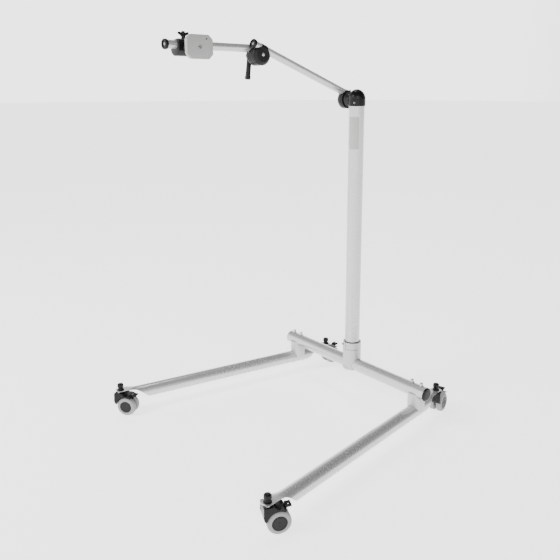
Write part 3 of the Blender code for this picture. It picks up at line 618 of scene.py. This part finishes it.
def pedal(name, place):
    pin = place @ Matrix.Translation((36.8, 0, 54.1))
    bm = rod(1.55, -5.2, 5.2, pin @ alongY, 32)
    for hand in (1, -1):
        cheek = arcPoints((0, 0), 3, 90, 270, 14) + [(8.0, -2), (8.0, 2)]
        joined(bm, slab(cheek, 3.4, 0.5, 0, pin @ rollUp @ Matrix.Translation((0, 0, hand * 5.9))))
    tread = [(4.8, -1.2), (9.2, -1.4), (9.9, 0.4), (9.4, 2.6), (5.0, 2.4)]
    joined(bm, slab(tread, 17, 0.5, 0, pin @ rollUp))
    for rib in range(-3, 4):
        joined(bm, slab([(5.4, 2.0), (9.1, 2.0), (9.1, 2.95), (5.4, 2.85)], 1.1, 0.2, 0,
                        pin @ rollUp @ Matrix.Translation((0, 0, rib * 2.3))))
    finishPiece("brakePedal_" + name, bm, "pedal_" + name, [black],
                ["brake_pedal_" + name])


for casterName in casterNames:
    spot = casterPlace(casterName)
    hood(casterName, spot)
    nut(casterName, spot)
    pedal(casterName, spot)
    wheel(casterName, "a")
    wheel(casterName, "b")
print("casters ready")


# column, sleeve and head

column = {"r": 20, "wall": 2, "low": 118.5, "top": 803.5, "sleeveR": 25, "sleeveLow": 86,
          "sleeveTop": 165, "slitZ": 146, "slit": 1.5, "headR": 22.3, "shoulderZ": 820}


def sleeve():
    r = column["sleeveR"]
    low = column["sleeveLow"]
    top = column["sleeveTop"]
    axis = at(0, 0, 0)
    slitZ = column["slitZ"]
    gap = column["slit"]
    crossZ = base["crossZ"]
    bm = rod(r, low, top, axis, 128, 0, 0.8)
    cutters = [rod(20.3, 113.5, top + 1, axis, 112),
               rod(17.8, -60, 60, at(0, 0, crossZ) @ alongX, 112),
               slab([(-gap / 2, -r - 2), (gap / 2, -r - 2), (gap / 2, -16), (-gap / 2, -16)], top + 1 - slitZ,
                    place=at(0, 0, (top + 1 + slitZ) / 2)),
               slab([(-gap / 2, -r - 2), (r + 2, -r - 2), (r + 2, -5), (-gap / 2, -5)], gap,
                    place=at(0, 0, slitZ)),
               rod(1.7, 16, 28, at(0, 0, slitZ) @ Matrix.Rotation(math.radians(-12), 4, "Z") @ alongX, 32),
               slab([(-r - 1, -r - 1), (8, -r - 1), (8, -11.5), (-r - 1, -11.5)], gap, place=at(0, 0, 94)),
               rod(3.4, -24, -11.5, at(0, -22.5, top - 8) @ alongX, 40),
               rod(1.5, -13, 9, at(0, -22.5, top - 8) @ alongX, 32)]
    bm = carved(bm, *cutters)
    finishPiece("sleeveBody", bm, "base", [castSilver], ["column_sleeve"])
    place = at(-11.8, -22.5, top - 8) @ alongX.inverted()
    screw = socketScrew(3.0, 4.0, place)
    joined(screw, rod(1.15, -17.8, 0.2, place, 24))
    finishPiece("sleeveScrew", screw, "sleeve_screw", [steel, dark], ["sleeve_clamp_screw"])


def columnTube():
    bm = tube(column["r"], column["wall"], column["low"], column["top"], at(0, 0, 0), 128)
    finishPiece("columnTubeBody", bm, "column", [silver], ["column_tube"])
    seal = lathe(ring(21.4, 20.05, column["sleeveTop"] + 0.3, column["sleeveTop"] + 1.7, 0.3), 112, 0,
                 at(0, 0, 0))
    finishPiece("columnSeal", seal, "column", [black])


label = {"facing": -66, "halfWide": 14.5, "low": 695, "high": 777, "lift": 0.12, "corner": 2.5}


def sticker():
    bm = bmesh.new()
    half = math.degrees(label["halfWide"] / column["r"])
    bmesh.ops.create_grid(bm, x_segments=28, y_segments=30, size=1)
    high = (label["high"] - label["low"]) / 2
    for vert in bm.verts:
        across = vert.co.x * label["halfWide"]
        up = vert.co.y * high
        inX = max(abs(across) - (label["halfWide"] - label["corner"]), 0)
        inY = max(abs(up) - (high - label["corner"]), 0)
        if inX and inY and math.hypot(inX, inY) > label["corner"]:
            pull = label["corner"] / math.hypot(inX, inY)
            across = math.copysign(label["halfWide"] - label["corner"] + inX * pull, across)
            up = math.copysign(high - label["corner"] + inY * pull, up)
        turn = math.radians(label["facing"]) + math.radians(half) * across / label["halfWide"]
        reach = column["r"] + label["lift"]
        vert.co = (reach * math.cos(turn), reach * math.sin(turn), (label["low"] + label["high"]) / 2 + up)
    bmesh.ops.recalc_face_normals(bm, faces=bm.faces)
    outward = sum((f.normal.dot(Vector((f.calc_center_median().x, f.calc_center_median().y, 0)))
                   for f in bm.faces))
    if outward < 0:
        bmesh.ops.reverse_faces(bm, faces=bm.faces)
    bm.transform(at(0, 0, 0))
    finishPiece("columnSticker", bm, "column", [stickerFilm])


def columnHead():
    r = column["headR"]
    low = column["top"] + 0.3
    sideTop = low + 17
    dome = [(r * math.sin(math.radians(a)), sideTop + 25 * math.cos(math.radians(a)))
            for a in range(0, 90, 5)]
    profile = dome + [(r, sideTop), (r - 0.4, sideTop - 0.4), (r - 0.4, sideTop - 1.2), (r, sideTop - 1.6),
                      (r, low + 0.8), (r - 0.8, low), (17.7, low), (17.7, low - 22), (0, low - 22)]
    bm = lathe(profile, 112, 0, at(0, 0, 0))
    grub = Matrix.Rotation(math.radians(-62), 4, "Z") @ alongX
    bm = carved(bm, rod(3.0, 17.5, 26, at(0, 0, low + 8) @ grub, 40))
    neck = [(0, -31.2), (16.8, -31.2), (18.3, -30.4), (18.5, -29.2), (16.6, -25.5), (14.4, -21.5),
            (13.2, -17), (12.8, -12), (0, -12)]
    shoulder = at(0, 0, column["shoulderZ"]) @ alongX
    joined(bm, lathe(neck, 96, 1, shoulder))
    joined(bm, rod(4, -45, -20, shoulder, 48))
    joined(bm, socketScrew(2.7, 3.2, at(0, 0, low + 8) @ grub @ Matrix.Translation((0, 0, 18)), 2))
    # the grub screw's pocket faces move to slot 3, the near-black painted recess shade
    for face in bm.faces:
        if face.material_index == 1 and face.calc_center_median().x > foot.x + 5:
            face.material_index = 3
    finishPiece("headBody", bm, "column", [glossBlack, neckGrey, steel, dark],
                ["column_head"])


sleeve()
columnTube()
sticker()
columnHead()
print("column ready")


# arm

arm = {"r": 9, "wall": 1.5, "offset": 14.5, "rise": 20.5, "upperRise": 0, "lowerX": -42, "upperX": -62.3,
       "tail": 13, "lowerEnd": 315, "upperEnd": 232, "drumR": 23, "elbowR": 24, "faceR": 18, "earR": 9.9}
elbowAt = mmPoint(joints["elbow"]["pos_m"])
elbowY = elbowAt.y - foot.y
elbowZ = elbowAt.z


def armPlace(x, y, z, rise):
    return at(x, y, z) @ Matrix.Rotation(math.radians(90 - rise), 4, "X")


lowerTube = armPlace(arm["lowerX"], 0, column["shoulderZ"], arm["rise"]) @ Matrix.Translation(
    (0, arm["offset"], 0))
lowerAtElbow = armPlace(arm["lowerX"], elbowY, elbowZ, arm["rise"]) @ Matrix.Translation(
    (0, arm["offset"], 0))
upperTube = armPlace(arm["upperX"], elbowY, elbowZ, arm["upperRise"]) @ Matrix.Translation(
    (0, arm["offset"], 0))


def drum(profile, pivot, tubePlace, lap, bore):
    bm = lathe(profile, 112, 0, pivot @ alongX)
    ear = lathe([(0, -lap), (8.9, -lap), (9.9, -lap + 1), (9.9, lap - 1), (8.9, lap), (0, lap)], 80, 0,
                tubePlace)
    lane = rod(9.3, -60, 60, tubePlace, 80)
    lane2 = rod(9.3, -60, 60, tubePlace, 80)
    bm = carved(bm, lane, *bore)
    return joined(bm, carved(ear, lane2))


def endCap(name, place, body, node):
    profile = [(7.6, 7.2), (8.0, 7.9), (9.2, 8.0), (10.4, 7.5), (11, 6.4), (11, 1.6), (10.6, 0.7),
               (9.8, 0.3), (7.2, 0.3), (7.2, -9.8), (0, -9.8), (0, 4.5), (6.6, 4.5), (7.6, 5.0), (7.6, 7.2)]
    bm = lathe(profile, 80, 0)
    joined(bm, lathe([(0, 5.9), (2.6, 5.9), (3.2, 5.5), (3.3, 4.6), (0, 4.6)], 64, 1))
    joined(bm, lathe([(3.9, 4.4), (3.9, 5.6), (4.4, 6.1), (7.0, 6.1), (7.5, 5.7), (7.5, 4.4), (3.9, 4.4)], 80, 0))
    bm.transform(place)
    finishPiece(name, bm, body, [black, capGrey], [node])


def shoulderArm():
    pivot = at(0, 0, column["shoulderZ"])
    r = arm["drumR"]
    profile = [(0, -31.5), (r - 1, -31.5), (r, -32.3), (r, -35.4), (r - 0.6, -35.9), (r - 0.6, -36.7),
               (r, -37.2), (r, -46.6), (r - 0.5, -47.6), (18.6, -52.4), (17.6, -53), (12.4, -53),
               (12.0, -52.5), (11.2, -52.5), (10.8, -53), (0, -53)]
    bm = drum(profile, pivot, lowerTube, 9, [rod(4.15, -45.3, -30, pivot @ alongX, 48)])
    finishPiece("shoulderDrum", bm, "lower_arm", [black], ["shoulder_drum"])
    screwSpot = lowerTube @ Matrix.Translation((0, 0, -7)) @ alongY
    screw = socketScrew(3.4, 3.2, screwSpot @ Matrix.Translation((0, 0, 10.2)))
    joined(screw, rod(1.9, 9.4, 10.3, screwSpot, 24))
    finishPiece("shoulderScrew", screw, "lower_arm", [steel, dark], ["shoulder_screw"])
    bm = tube(arm["r"], arm["wall"], -arm["tail"], arm["lowerEnd"], lowerTube, 96)
    finishPiece("lowerArmTube", bm, "lower_arm", [silver], ["arm_lower_tube"])
    endCap("lowerArmCap", lowerTube @ Matrix.Translation((0, 0, arm["lowerEnd"])), "lower_arm",
           "arm_lower_cap")


def elbowHeads():
    pivot = at(0, elbowY, elbowZ)
    r = arm["elbowR"]
    lower = [(0, -32), (6.4, -32), (6.8, -32.5), (9.2, -32.5), (9.6, -32), (12.8, -32), (13.2, -32.6),
             (15.2, -32.6), (15.6, -32), (17.4, -32), (18.2, -32.4), (23.4, -37.4), (24, -38.6), (24, -44),
             (23.4, -44.5), (23.4, -45.3), (24, -45.8), (24, -51.2), (23.2, -52), (0, -52)]
    bm = drum(lower, pivot, lowerAtElbow, 9, [rod(4.15, -80, -20, pivot @ alongX, 48)])
    finishPiece("elbowLowerHead", bm, "elbow_carriage", [black], ["elbow_lower_head"])
    upper = [(radius, -104.3 - height) for radius, height in reversed(lower)]
    bm = drum(upper, pivot, upperTube, 9, [rod(4.15, -80, -20, pivot @ alongX, 48)])
    finishPiece("elbowUpperHead", bm, "elbow_turn", [black], ["elbow_upper_head"])
    bolt = lathe([(0, -31.1), (1.3, -31.2), (2.0, -31.7), (2.2, -32.4), (4, -32.6),
                  (4, -79.8), (0, -79.8)], 48, 0, pivot @ alongX)
    finishPiece("elbowBolt", bolt, "elbow_carriage", [steel], ["elbow_bolt"])


lever = {"hubR": 8, "inner": -72.6, "outer": -93.6, "length": 54, "lean": -6}


def elbowLever():
    pivot = at(0, elbowY, elbowZ)
    inner, outer = lever["inner"], lever["outer"]
    hub = [(4.2, inner), (7.4, inner), (8, inner - 0.6), (8, inner - 6), (7.5, inner - 6.6),
           (7.5, inner - 7.6), (8, inner - 8.2), (8, outer + 3.6), (7.2, outer + 1.4), (5.4, outer + 0.2),
           (4.6, outer), (0, outer), (0, -81), (4.2, -81), (4.2, inner)]
    bm = lathe(hub, 80, 0, pivot @ alongX)
    start = Vector((outer + 6.6, elbowY, elbowZ))
    tip = start + Vector((-1, lever["lean"], -lever["length"]))
    grip = [(0, 55.4), (4.6, 55.3), (6.2, 54.6), (6.9, 53.2), (7.0, 50), (6.7, 47.6), (6.2, 45.8), (6.0, 43),
            (5.9, 30), (5.8, 14), (6.0, 8), (6.4, 4), (6.5, 1), (0, 1)]
    aim = (tip - start).to_track_quat("Z", "Y").to_matrix().to_4x4()
    joined(bm, lathe(grip, 64, 0, at(*start) @ aim))
    finishPiece("elbowLeverGrip", bm, "lever", [glossBlack], ["elbow_lever"])


def upperArm():
    bm = tube(arm["r"], arm["wall"], -arm["tail"], arm["upperEnd"], upperTube, 96)
    finishPiece("upperArmTube", bm, "upper_arm", [silver], ["arm_upper_tube"])
    endCap("upperArmCap", upperTube @ Matrix.Translation((0, 0, arm["upperEnd"])), "upper_arm",
           "arm_upper_cap")


shoulderArm()
elbowHeads()
elbowLever()
upperArm()
print("arm ready")


# device clamp and plate

holder = {"long": 40, "strap": 12, "stemR": 9, "spigotR": 6, "plateX": 5, "plateThick": 10, "wide": 62,
          "high": 49, "clip": 9.5}
clampSpot = mmPoint(joints["clamp_roll"]["pos_m"]) - foot
plateSpot = mmPoint(joints["plate_turn"]["pos_m"]) - foot


def deviceClamp():
    place = at(*clampSpot) @ Matrix.Rotation(math.radians(90 - arm["upperRise"]), 4, "X")
    strap = holder["strap"]
    shape = [(-7.2, 10.2)] + arcPoints((0, 0), strap, 150, 200, 8) + [(-13.5, -7.0), (-17.5, -7.6)]
    shape += arcPoints((-18.6, -9.6), 1.9, 90, 215, 6)
    shape += arcPoints((-3, -5), 18.5, 205, 300, 18) + arcPoints((11.5, -11.5), 3.5, -60, 0, 6)
    shape += [(15, 4)] + arcPoints((11.5, 6.5), 3.5, 0, 70, 6) + [(8.6, 12.2)]
    bm = slab(shape, holder["long"], 0.7, 0, place)
    stemEnd = holder["plateX"] - holder["plateThick"] - 0.3 - clampSpot.x
    stem = at(clampSpot.x, clampSpot.y, plateSpot.z) @ alongX
    joined(bm, lathe([(0, 8), (11, 8), (11, 17.5), (10.2, 18.6), (holder["stemR"], 19.4),
                      (holder["stemR"], stemEnd - 6), (9.8, stemEnd - 5), (9.8, stemEnd - 0.8),
                      (9.2, stemEnd), (holder["spigotR"], stemEnd), (holder["spigotR"], stemEnd + 5),
                      (0, stemEnd + 5)], 80, 0, stem))
    joined(bm, rod(6.5, 8, strap + 1, place @ alongY, 56, 0, 0.6))
    bm = carved(bm, rod(9.3, -40, 40, place, 96), rod(3.3, 8, strap + 8, place @ alongY, 40))
    liner = [arcPoints((0, 0), 9.9, 60, 250, 30) + arcPoints((0, 0), 9.2, 250, 60, 30)][0]
    joined(bm, slab(liner, holder["long"] + 1.0, 0.0, 1, place))
    finishPiece("clampBody", bm, "clamp", [black, capGrey], ["device_clamp"])


def wingScrew():
    place = at(*clampSpot) @ Matrix.Rotation(math.radians(90 - arm["upperRise"]), 4, "X") @ alongY
    strap = holder["strap"]
    crown = strap + 3
    bm = rod(2.95, 9.4, crown, place, 40)
    joined(bm, lathe([(0, strap + 1.3), (4.2, strap + 1.3), (4.6, strap + 1.8), (4.6, crown + 3.4),
                      (4.2, crown + 4.2), (4.0, crown + 11), (3.4, crown + 12.8), (2.2, crown + 13.5),
                      (0, crown + 13.6)], 56, 0, place))
    half = 13
    blade = arcPoints((half - 2.4, crown + 9.4), 2.4, -70, 100, 10) + [(5.5, crown + 10.6), (4, crown + 10.2)]
    blade += [(-x, z) for x, z in reversed(blade)]
    blade += [(-4.6, crown + 2.5), (-3.6, crown - 0.6), (3.6, crown - 0.6), (4.6, crown + 2.5)]
    upright = place @ Matrix.Rotation(math.radians(90), 4, "Z") @ rollUp
    joined(bm, slab(blade, 5.4, 1.2, 0, upright, 4))
    finishPiece("wingScrewBody", bm, "wing", [glossBlack], ["wing_screw"])


def devicePlate():
    face = at(0, plateSpot.y, plateSpot.z)
    flatOn = face @ Matrix.Rotation(math.radians(90), 4, "Z") @ rollUp
    w, h, c = holder["wide"] / 2, holder["high"] / 2, holder["clip"]
    corners = [(-w, -h + c), (-w, h - c), (-w + c, h), (w - c, h), (w, h - c), (w, -h + c), (w - c, -h),
               (-w + c, -h)]
    middle = holder["plateX"] - holder["plateThick"] / 2
    bm = slab(corners, holder["plateThick"], 0, 0, flatOn @ Matrix.Translation((0, 0, middle)))
    posts = [e for e in bm.edges if abs((e.verts[0].co - e.verts[1].co).x) > 9]
    bmesh.ops.bevel(bm, geom=posts, offset=3.2, segments=6, profile=0.5, affect="EDGES", material=-1,
                    clamp_overlap=True)
    rims = [e for e in bm.edges if e.calc_face_angle(0) > math.radians(60)]
    bmesh.ops.bevel(bm, geom=rims, offset=1.5, segments=4, profile=0.5, affect="EDGES", material=-1,
                    clamp_overlap=True)
    front = holder["plateX"]
    low = front - holder["plateThick"]
    stem = face @ alongX
    bm = carved(bm, rod(6.15, low - 2, low + 5.3, stem, 56), rod(4.3, front - 2.6, front + 2, stem, 56),
                rod(1.9, front - 4, front + 2, at(0, plateSpot.y + 16, plateSpot.z + 16) @ alongX, 40))
    for item in bm.faces:
        item.material_index = 0
    # the screw's pocket faces take slot 1, the near-black painted recess shade
    joined(bm, socketScrew(3.6, 1.9, stem @ Matrix.Translation((0, 0, front - 2.5)), 2, 0.5))
    finishPiece("plateBody", bm, "plate", [plateGrey, dark, steel], ["device_plate"])


deviceClamp()
wingScrew()
devicePlate()
print("device holder ready")
